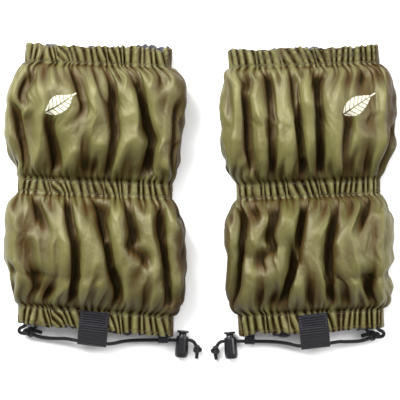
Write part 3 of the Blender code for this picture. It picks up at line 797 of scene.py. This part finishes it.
def webbing():
    """Black webbing: fine picks across it and crowns along it. cloth is (across, along)."""
    n = Nodes("black_webbing", sheen_weight=0.06, sheen_roughness=0.5, specular_ior_level=0.18)
    place = n.attribute("cloth")
    x, y, _ = n.split(place)
    wander = n.times(n.math("SUBTRACT", n.noise(place, 160, 2), 0.5), 0.0014)
    picks, ends = n.wave(n.plus(y, wander), RIB), n.wave(x, 0.0007)
    weave = n.plus(n.times(picks, 0.75), n.times(ends, 0.25))
    # Painted shade: darker in the grooves between the picks, where the weave is low
    tone = n.mix(n.spread(weave, -0.2, 1.0), (0.0012, 0.0012, 0.0018), (0.017, 0.017, 0.024))
    dust = n.spread(n.noise(place, 500, 3, 0.7), 0.45, 0.8, 0.0, 0.6)
    rough = n.spread(weave, -1, 1, 0.75, 0.52)
    n.shade(base_color=n.mix(dust, tone, (0.016, 0.016, 0.023)), roughness=rough)
    n.bump(weave, 0.00035, 0.9)


def braid():
    """The cord's braided cover. cord is (along, angle round)."""
    n = Nodes("braided_cover", sheen_weight=0.05, sheen_roughness=0.5, specular_ior_level=0.2)
    along, angle, _ = n.split(n.attribute("cord"))
    turn, round_it = n.times(along, 2 * math.pi / 0.0032), n.times(angle, 4.0)
    crossing = (n.math("SINE", n.math(way, turn, round_it)) for way in ("ADD", "SUBTRACT"))
    strands = n.math("MAXIMUM", *crossing)
    # Painted shade: darker in the gaps between the strands
    tone = n.mix(n.spread(strands, -0.2, 1.0), (0.0015, 0.0015, 0.002), (0.011, 0.011, 0.013))
    n.shade(base_color=tone, roughness=n.spread(strands, -1, 1, 0.8, 0.55))
    n.bump(strands, 0.00022, 0.9)


def plastic():
    n = Nodes("moulded_black", specular_ior_level=0.45)
    place = n.object_place()
    scuffs = n.noise(place, 1500, 4, 0.7, (1.0, 0.3, 1.0))
    n.shade(
        base_color=n.mix(n.noise(place, 400, 3), (0.003, 0.003, 0.004), (0.007, 0.007, 0.009)),
        roughness=n.spread(scuffs, 0.35, 0.75, 0.18, 0.36),
    )
    n.bump(n.noise(place, 2500, 2), 0.00002, 0.5)


def spring_wire():
    n = Nodes("spring_wire", metallic=1.0)
    place = n.object_place()
    n.shade(
        base_color=n.mix(n.noise(place, 900, 2), (0.5, 0.5, 0.52), (0.66, 0.66, 0.68)),
        roughness=n.spread(n.noise(place, 1600, 2), 0.3, 0.7, 0.24, 0.36),
    )


def sewing_thread(name, colour, dark):
    n = Nodes(name, sheen_weight=0.2, specular_ior_level=0.4, roughness=0.6)
    along, angle, _ = n.split(n.attribute("cord"))
    ply = n.math("SINE", n.plus(n.times(along, 2 * math.pi / 0.0005), angle))
    # Painted shade: darker between the plies
    n.shade(base_color=n.mix(n.spread(ply, -1, 1), dark, colour))
    n.bump(ply, 0.00004, 0.7)


def floor_material():
    n = Nodes("paper", specular_ior_level=0.1)
    place = n.object_place()
    n.shade(
        base_color=n.mix(n.noise(place, 6, 2), (0.9, 0.9, 0.9), (0.93, 0.93, 0.93)),
        roughness=n.spread(n.noise(place, 60, 3), 0.3, 0.7, 0.85, 0.95),
    )


# --- The sleeves ---


def layer_inside(cloth, j, sewn=None):
    """The hem's inner layer at row j: less deeply pleated, and close to the outer one where sewn."""
    deep = sewn or HEM_DEPTH + 0.6 * cloth.offset[j]
    return cloth.points[:, j] - cloth.normal[:, j] * deep


def turned_in(cloth, outer_row, rows_in, end):
    """Rows that turn round an open end and run back inside the hem: (xyz, row, column)."""
    made = []
    for share in (0.25, 0.5, 0.75):
        angle = math.pi * share
        step = -cloth.normal[:, outer_row] * (HEM_DEPTH / 2) * (1 - math.cos(angle))
        step[1] = end * EDGE * math.sin(angle)
        made.append(cloth.points[:, outer_row] + step)
    made += [layer_inside(cloth, j) for j in rows_in[:-1]]
    made.append(layer_inside(cloth, rows_in[-1], sewn=0.001))
    return np.stack(made, axis=1)


# Painted light and shade: painted shade in the folds, painted highlights on the ridges
def fold_tone(height):
    """0 in the deepest folds to 1 on the ridges, from each point's height over its neighbours."""
    for _ in range(2):
        height = (np.roll(height, 1, axis=1) + height + np.roll(height, -1, axis=1)) / 3
    broad = height.copy()
    for step in (2, 4, 6, 8):
        broad = (np.roll(broad, step, axis=1) + broad + np.roll(broad, -step, axis=1)) / 3
    padded = np.pad(broad, ((6, 6), (0, 0)), mode="edge")
    broad = sum(padded[k : k + len(broad)] for k in range(13)) / 13
    return np.clip(0.61 + (height - broad) / 0.009, 0, 1)


def make_sleeve(hand, cloth):
    """The sleeve in one sheet. Returns its grid, and the first row of the grid that shows."""
    along, held = cloth.along, cloth.held
    last = len(along) - 1
    foot = turned_in(cloth, 0, range(held[1] + 1), -1)[:, ::-1]
    knee = turned_in(cloth, last, range(last, held[4] - 1, -1), 1)
    foot_rows, knee_rows = foot.shape[1], knee.shape[1]
    whole = np.concatenate([foot, cloth.points, knee], axis=1)
    x, y = lay(hand, whole[0], whole[1])
    # The back hangs a little below the front at the foot, and stands a little over it at the knee
    drop = bell((x - 0.02) / 0.014) * np.clip((0.016 - whole[1]) / 0.016, 0, 1)
    rise = np.exp(-(((x - 0.048) / 0.018) ** 4)) * np.clip((whole[1] - 0.226) / 0.016, 0, 1)
    on_back = np.clip((0.01 - whole[2]) / 0.004, 0, 1)
    y = y + (HANDS[hand]["back_rise"] * rise - 0.0028 * drop) * on_back
    # Both open edges are a little wavy
    rng = np.random.default_rng(HANDS[hand]["seed"])
    for low, high, side in ((0.0, 0.004, -1), (SLEEVE_LENGTH - 0.004, SLEEVE_LENGTH, 1)):
        share = np.clip((whole[1] - low) / (high - low), 0, 1)
        share = share if side > 0 else 1 - share
        for cells in (104, 26):
            y = y + side * share * 0.0008 * smooth_noise(rng, (1, COLUMNS), (1, cells))
    shape = np.stack([x, y, whole[2]], axis=2)

    # Painted light and shade: dark in the folds and band gathers, painted highlights on their ridges, darker
    # on their shaded side
    offset = np.pad(cloth.offset, ((foot_rows, knee_rows), (0, 0)), mode="edge")
    in_band = bell(from_bands(np.clip(whole[1], 0, SLEEVE_LENGTH)) / 0.0022)
    tone = fold_tone(offset) * (1 - in_band) + in_band * np.clip((offset + 0.0008) / 0.0019, 0, 1)
    # The lower puff is a little darker all over
    lower = np.clip((MID_BAND[0] - whole[1]) / 0.004, 0, 1) * (1 - in_band)
    shaded_side = np.where((whole[1] > MID_BAND[0]) & (hand == "right"), -1, 1)
    facing = shaded_side * np.clip(surface_normals(shape)[..., 0], -0.8, 0.8)
    tone = tone - 0.07 * lower - (0.42 - 0.06 * in_band) * facing

    inside_foot = np.arange(-foot_rows, 0) * HEM_ROW
    inside_knee = along[-1] + 0.001 + np.arange(knee_rows) * HEM_ROW
    at = np.arange(COLUMNS) * COLUMN, np.concatenate([inside_foot, along, inside_knee])
    piece = add_cloth(
        hand, "sleeve_cloth", shape, at, (True,), f"{hand}_nylon", "sleeve",
        fold=np.clip(tone, 0, 1).ravel(),
    )
    # Faces past the folded edge show the lining
    piece.data.materials.append(bpy.data.materials["dark_coated_lining"])
    row_of_face = np.repeat(np.arange(len(shape) - 1), COLUMNS)
    inner = (row_of_face < foot_rows - 2) | (row_of_face > len(shape) - knee_rows)
    piece.data.polygons.foreach_set("material_index", inner.astype(np.int32))
    thicken(piece, inner_material=1)
    # The hems take up two turned-in layers and their rounded edges
    return shape, foot_rows


def print_place(hand, cloth):
    """The cloth's own coordinates where the print's middle lies."""
    print_x, print_y = HANDS[hand]["print_at"]
    x = lay(hand, cloth.points[0], cloth.points[1])[0]
    row = int(np.abs(cloth.along - print_y).argmin())
    on_front = cloth.normal[2, row] > 0.5
    column = int(np.where(on_front, np.abs(x[row] - print_x), 1).argmin())
    return column * COLUMN, cloth.along[row]


def stitches(line, normals, stitch, gap, radius, lift):
    """Separate stitches along a line of points on the cloth."""
    way = distances(line)
    parts = []
    bow = np.array([-0.9, 0.25, 0.6, 0.6, 0.25, -0.9])[:, None] * lift  # its ends go into the cloth
    for start in np.arange(0.0, way[-1] - stitch, stitch + gap):
        at = start + np.linspace(0, stitch, 6)
        path, up = (np.stack([np.interp(at, way, c) for c in of.T], axis=1) for of in (line, normals))
        parts.append(tube(path + up * bow, radius, sides=6))
    return merged(parts)


def surface_normals(shape):
    """Normals of a (row, column, xyz) grid that is closed round, pointing out of the sleeve."""
    over = np.roll(shape, -1, axis=1) - np.roll(shape, 1, axis=1)
    normals = np.cross(over, np.gradient(shape, axis=0))
    return normals / (np.linalg.norm(normals, axis=2, keepdims=True) + 1e-12)


def make_stitching(hand, shape, first, held):
    """Stitches round the bands, and two rows up the back seam."""
    normals = surface_normals(shape)
    lines = []
    for row in held:
        j = first + row
        for shift in (0.25, -0.75) if row not in (held[0], held[-1]) else (0.0,):
            line = shape[j] * (1 - abs(shift)) + shape[j + (1 if shift > 0 else -1)] * abs(shift)
            lines.append((*(np.vstack([c, c[:1]]) for c in (line, normals[j])), *STITCH))
    between = slice(first + held[1], first + held[4])
    lines += [(shape[between, side], normals[between, side], *SEAM_STITCH) for side in (-3, 3)]
    points, faces, where = merged([stitches(*line, THREAD_RADIUS, 0.00022) for line in lines])
    add_mesh(hand, "stitching", points, faces, "olive_thread", cord=where)


def make_bands(hand, cloth):
    """The flat elastics in their channels, the middle casing and the tapes over the back seam."""
    points, along, held = cloth.points, cloth.along, cloth.held
    half = COLUMNS // 2
    share = np.arange(half)[None] / half
    crimp = 0.00008 * np.cos(share * 2 * math.pi * 200)
    for name, (low, high) in zip(("bottom", "mid", "top"), (held[:2], held[2:4], held[4:])):
        rows_at = along[low] + 0.0012 + (along[high] - along[low] - 0.0024) * np.linspace(0, 1, 7)
        x, z, nx, nz = section(hand, rows_at[:, None], share)
        outer, inner = (
            laid(hand, (x - nx * (depth + crimp), rows_at[:, None] + 0 * x, z - nz * (depth + crimp)))
            for depth in ELASTIC_DEPTHS
        )
        at = np.arange(half) * 0.0013, np.concatenate([rows_at, rows_at[::-1]])
        add_cloth(
            hand, name + "_elastic_band", np.concatenate([outer, inner[::-1]]), at, (True, True),
            "woven_elastic", name + "_elastic", smooth=50,
        )

    low, high = held[2] - 1, held[3] + 1
    strip = [layer_inside(cloth, j, 0.0009 if j in (low, high) else None) for j in range(low, high + 1)]
    at = np.arange(COLUMNS) * COLUMN, along[low : high + 1]
    grid = laid(hand, np.stack(strip, axis=1))
    piece = add_cloth(hand, "mid_casing_cloth", grid, at, (True,), "dark_coated_lining", "mid_casing")
    thicken(piece)

    columns = np.arange(-4, 5)
    for name, low, high in (("lower", held[1] + 1, held[2] - 2), ("upper", held[3] + 2, held[4] - 1)):
        out, normal = (c[:, low:high][:, :, columns] for c in (points, cloth.normal))
        name, at = "seam_tape_" + name, (columns * COLUMN, along[low:high])
        grid = laid(hand, out - 0.0008 * normal)
        thicken(add_cloth(hand, name + "_cloth", grid, at, (False,), "dark_coated_lining", name))


# --- Webbing ---


def wrapped_path(outer, inner, centre, radius, steps=18):
    """From the end of outer, round the far side of a cord at centre, and back to inner."""

    def touching(point, side):
        to = Vector(point) - Vector(centre)
        return math.atan2(to.y, to.x) + side * math.acos(radius / to.length)

    start, end = touching(outer[-1], 1), touching(inner[0], -1) + 2 * math.pi
    angles = [start + (end - start) * i / steps for i in range(steps + 1)]
    turn = [(centre[0] + radius * math.cos(a), centre[1] + radius * math.sin(a)) for a in angles]
    return [*outer, *turn, *inner]


def strap(path, wide, thick, step=0.0004):
    """A flat strap with rounded selvedges along X, whose middle follows a (y, z) path.

    Returns its points, faces and (across, along) of each point."""
    path = np.array(path, float)
    way = distances(path)
    count = int(way[-1] / step) + 1
    at = np.linspace(0, way[-1], count)
    line = np.stack([np.interp(at, way, c) for c in path.T], axis=1)
    for _ in range(6):
        line[1:-1] = (line[:-2] + 2 * line[1:-1] + line[2:]) / 4
    along = np.gradient(line, axis=0)
    along /= np.linalg.norm(along, axis=1, keepdims=True)
    up = np.stack([-along[:, 1], along[:, 0]], axis=1)
    # Round the section: a flat middle and half-round selvedges
    half = thick / 2
    flat = wide / 2 - half
    middle = np.linspace(-1, 1, 13) * flat
    turn = np.linspace(90, -90, 7)[1:-1] * math.pi / 180
    round_edge = flat + half * np.cos(turn)
    xs = np.concatenate([middle, round_edge, middle[::-1], -round_edge])
    hs = np.concatenate([np.ones(13), np.sin(turn), -np.ones(13), -np.sin(turn)])
    ribs = 1 + 0.07 * np.sin(at * 2 * math.pi / RIB)
    yz = line[:, None] + up[:, None] * (half * hs[None] * ribs[:, None])[..., None]
    points = np.concatenate([np.broadcast_to(xs[None, :, None], (count, len(xs), 1)), yz], axis=2)
    faces = grid_faces(count, len(xs), True).tolist() + end_faces(count, len(xs))
    where = np.stack(np.broadcast_arrays(xs[None], at[:, None], 0.0), axis=2)
    return points.reshape(-1, 3), faces, where.reshape(-1, 3)


def make_keeper(hand):
    pivot, edge = fitted(hand, KEEPER_PIVOT), -0.0083
    cord = Matrix.Rotation(-KEEPER_TURN, 4, "Z") @ (fitted(hand, CORD_AT_KEEPER) - pivot)
    outer_z, inner_z = KEEPER_LEGS_Z
    path = wrapped_path(
        [(0.0084, outer_z), (edge, outer_z)], [(edge, inner_z), (0.006, inner_z)],
        (cord.y, cord.z), CORD_RADIUS + 0.0005 + KEEPER_THICK / 2,
    )
    points, faces, where = strap(path, KEEPER_WIDE, KEEPER_THICK)
    points = turned_to(points, KEEPER_TURN, pivot)
    look = "black_webbing", "front_keeper"
    add_mesh(hand, "keeper_webbing", points, faces, *look, smooth=60, cloth=where)

    # A box of black stitches holds its upper end to the hem
    top = outer_z + KEEPER_THICK / 2 + 0.00005
    corners = mm((-10.8, 7.0), (10.8, 7.0), (10.8, -3.5), (-10.8, -3.5), (-10.8, 7.0))
    lines = [np.linspace((*a, top), (*b, top), 40) for a, b in zip(corners, corners[1:])]
    upright = np.tile((0, 0, 1.0), (40, 1))
    sewn = [stitches(line, upright, 0.0019, 0.0006, 0.00018, 0.00018) for line in lines]
    points, faces, where = merged(sewn)
    points = turned_to(points, KEEPER_TURN, pivot)
    add_mesh(hand, "keeper_stitching", points, faces, "black_thread", cord=where)


def make_small_loop(hand, name, wide, cord):
    cord = fitted(hand, cord)
    hem_edge = float(lay(hand, cord.x - HANDS[hand]["shifts"][0], 0.0)[1])
    middle, thick = 0.011, 0.0008
    half = 0.0003 + thick / 2
    meet = max(hem_edge, cord.y + 0.005)
    path = wrapped_path(
        [(hem_edge + 0.012, middle + half), (meet, middle + half)],
        [(meet, middle - half), (hem_edge + 0.012, middle - half)],
        (cord.y, cord.z), CORD_RADIUS + 0.0004 + thick / 2,
    )
    points, faces, where = strap(path, wide, thick)
    points[:, 0] += cord.x
    add_mesh(hand, name + "_tape", points, faces, "black_webbing", name, smooth=60, cloth=where)


# --- Cord ---


def knot_line(centre, size, turn):
    """A trefoil, the shape that an overhand knot is pulled into."""
    t = np.linspace(0, 2 * math.pi, 72, endpoint=False)
    x = (np.sin(t) + 2 * np.sin(2 * t)) / 3
    y = (np.cos(t) - 2 * np.cos(2 * t)) / 3
    cos, sin = math.cos(turn), math.sin(turn)
    points = np.stack([x * cos - y * sin, x * sin + y * cos, -np.sin(3 * t)], axis=1)
    return points * np.array(size) + np.array(centre)


def make_cord(hand):
    def fitted_line(route, step):
        return smooth_line([fitted(hand, point) for point in route], step)

    def knot(name, centre, size, turn, strands):
        parts = [tube(knot_line(fitted(hand, centre), size, turn), CORD_RADIUS, 18, closed=True)]
        parts += [tube(fitted_line(strand, 0.0008), CORD_RADIUS, 18) for strand in strands]
        points, faces, where = merged(parts)
        return add_mesh(hand, name + "_tied", points, faces, "braided_cover", name, cord=where)

    line = fitted_line(CORD_ROUTE, 0.0012)
    points, faces, where = tube(line, CORD_RADIUS, sides=20)
    cord = add_mesh(hand, "cord", points, faces, "braided_cover", "shock_cord", cord=where)
    anchor = knot("anchor_knot", *ANCHOR_KNOT, 0.4, (ANCHOR_BIGHT, ANCHOR_TAIL))
    end = knot("end_knot", *END_KNOT, 1.2, (END_TAIL,))


# --- The cord lock ---


def turned(profile, sides=72):
    """Points and faces of a (radius, y) profile turned round the Y axis."""
    angle = 2 * math.pi * np.arange(sides) / sides
    points, ring_of, faces = [], [], []
    for radius, y in profile:
        count = 1 if radius == 0 else sides
        ring_of.append([len(points) + i for i in range(count)])
        points += [(radius * math.sin(a), y, radius * math.cos(a)) for a in angle[:count]]
    for row, after in zip(ring_of, ring_of[1:]):
        for i in range(sides):
            ends = [row[i % len(row)], row[(i + 1) % len(row)]]
            ends += [after[(i + 1) % len(after)], after[i % len(after)]]
            faces.append(list(dict.fromkeys(ends)))
    return np.array(points), faces


def rounded(profile, radius=0.0005, steps=4):
    """The profile with its inner corners rounded."""
    made = [profile[0]]
    for before, here, after in zip(profile, profile[1:], profile[2:]):
        here = Vector(here)
        a, b = Vector(before) - here, Vector(after) - here
        reach = min(radius, a.length * 0.45, b.length * 0.45)
        start, end = here + a.normalized() * reach, here + b.normalized() * reach
        for t in (i / steps for i in range(steps + 1)):
            made.append(tuple(start * (1 - t) ** 2 + here * 2 * t * (1 - t) + end * t**2))
    return [*made, profile[-1]]


def cut(piece, hand, low, high, radius, turn):
    """Cuts a round-ended slot right through along X."""
    steps = 24
    outline = []
    for centre, first in ((high - radius, 0.0), (low + radius, math.pi)):
        for a in (first + math.pi * i / steps for i in range(steps + 1)):
            outline.append((centre + radius * math.sin(a), radius * math.cos(a)))
    size = len(outline)
    points = [(x, *yz) for x in (-0.009, 0.009) for yz in outline]
    points = turned_to(points, turn, fitted(hand, LOCK_PLACE))
    faces = grid_faces(2, size, True).tolist() + end_faces(2, size)
    mesh = bpy.data.meshes.new("cutter")
    mesh.from_pydata(placed(hand, points).tolist(), [], faces)
    shape = bmesh.new()
    shape.from_mesh(mesh)
    bmesh.ops.remove_doubles(shape, verts=shape.verts, dist=1e-7)
    bmesh.ops.recalc_face_normals(shape, faces=shape.faces)
    shape.to_mesh(mesh)
    shape.free()
    cutter = add_object("cutter", mesh)
    modifier = piece.modifiers.new("slot", "BOOLEAN")
    modifier.operation, modifier.object, modifier.solver = "DIFFERENCE", cutter, "EXACT"
    bpy.context.view_layer.update()
    graph = bpy.context.evaluated_depsgraph_get()
    made = bpy.data.meshes.new_from_object(piece.evaluated_get(graph))
    piece.modifiers.clear()
    piece.data = made
    bpy.data.objects.remove(cutter)
    piece.data.shade_smooth()
    piece.data.set_sharp_from_angle(angle=math.radians(40))


def make_lock(hand):
    def add(name, points, faces, *more):
        points = turned_to(points, LOCK_TURN, fitted(hand, LOCK_PLACE))
        return add_mesh(hand, name, points, faces, *more)

    barrel = mm(
        (0, -15.2), (3.4, -15.2), (4.8, -14.6), (5.4, -13.4), (5.6, -11.0), (5.35, 1.8), (5.2, 3.4),
        (3.85, 3.4), (3.85, -13.4), (0, -13.4),
    )
    piece = add("lock_body", *turned(rounded(barrel)), "moulded_black", "lock_barrel", "cord_lock", 35)
    cut(piece, hand, -0.0023, 0.0023, 0.0023, 0.0)

    plunger = mm(
        (0, -6.4), (3.1, -6.4), (3.5, -6.0), (3.5, 4.0), (3.2, 4.6), (3.2, 6.2), (5.2, 6.6), (5.2, 7.8),
        (4.2, 8.3), (1.8, 8.1), (0, 8.0),
    )
    piece = add("lock_button", *turned(rounded(plunger)), "moulded_black", "lock_plunger", "lock_button", 35)
    cut(piece, hand, -0.00185, 0.00465, 0.00195, LOCK_TURN)

    turns, per_turn, wire = 4.5, 28, 0.00025
    count = int(turns * per_turn)
    t = np.arange(count + 1)
    angle = 2 * math.pi * t / per_turn
    low, high = -0.0134 + 0.0006, -0.0064 - 0.0006
    along = low + (high - low) * t / count
    line = np.stack([0.0026 * np.sin(angle), along, 0.0026 * np.cos(angle)], axis=1)
    points, faces, _ = tube(line, wire, 10)
    piece = add("lock_coil", points, faces, "spring_wire", "lock_spring", None, 180)
    # The coil stands on the floor of the body, and the button presses its other end down
    ends = [(0, low - 2 * wire, 0), (0, high + 2 * wire, 0)]
    ends = placed(hand, turned_to(ends, LOCK_TURN, fitted(hand, LOCK_PLACE)))
    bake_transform(piece)


# --- Stage ---


def make_stage():
    mesh = bpy.data.meshes.new("floor")
    corners = ((-1, -1), (1, -1), (1, 1), (-1, 1))
    mesh.from_pydata([(FLOOR_HALF * x, FLOOR_HALF * y, 0) for x, y in corners], [], [(0, 1, 2, 3)])
    floor_material()
    mesh.materials.append(bpy.data.materials["paper"])
    add_object("floor", mesh)

    world = bpy.data.worlds.new("studio")
    bpy.context.scene.world = world
    world.use_nodes = True
    background = world.node_tree.nodes["Background"].inputs
    background["Color"].default_value = (1, 1, 1, 1)
    background["Strength"].default_value = 0.52

    lights = (
        ("key", (-0.8, 0.95, 1.05), 0.9, 62.0),
        ("fill", (1.05, 0.3, 0.85), 0.7, 17.0),
        ("top", (0.0, 0.6, 1.5), 0.8, 9.0),
    )
    for name, place, size, power in lights:
        data = bpy.data.lights.new(name, "AREA")
        data.size, data.energy = size, power
        light = add_object(name, data)
        light.location = place
        light.rotation_euler = (-Vector(place)).to_track_quat("-Z", "Y").to_euler()

    data = bpy.data.cameras.new("camera")
    data.lens, data.sensor_width = 262.0, 36.0
    data.clip_start, data.clip_end = 0.1, 100
    camera = add_object("camera", data)
    camera.location = (-0.0005, -0.0024, 2.5)
    bpy.context.scene.camera = camera
    bpy.context.scene.view_settings.view_transform = "Standard"


def main():
    make_stage()
    for make_material in (lining, elastic, webbing, braid, plastic, spring_wire):
        make_material()
    sewing_thread("olive_thread", (0.115, 0.105, 0.04), (0.05, 0.045, 0.018))
    sewing_thread("black_thread", (0.035, 0.035, 0.045), (0.01, 0.01, 0.012))
    for hand, cloth in settled_cloth().items():
        nylon(hand, print_place(hand, cloth))
        shape, first = make_sleeve(hand, cloth)
        make_stitching(hand, shape, first, cloth.held)
        make_bands(hand, cloth)
        make_keeper(hand)
        make_small_loop(hand, "side_loop", 0.0085, CORD_AT_SIDE_LOOP)
        make_small_loop(hand, "anchor_loop", 0.0045, CORD_AT_ANCHOR)
        make_cord(hand)
        make_lock(hand)


main()
bpy.context.view_layer.update()
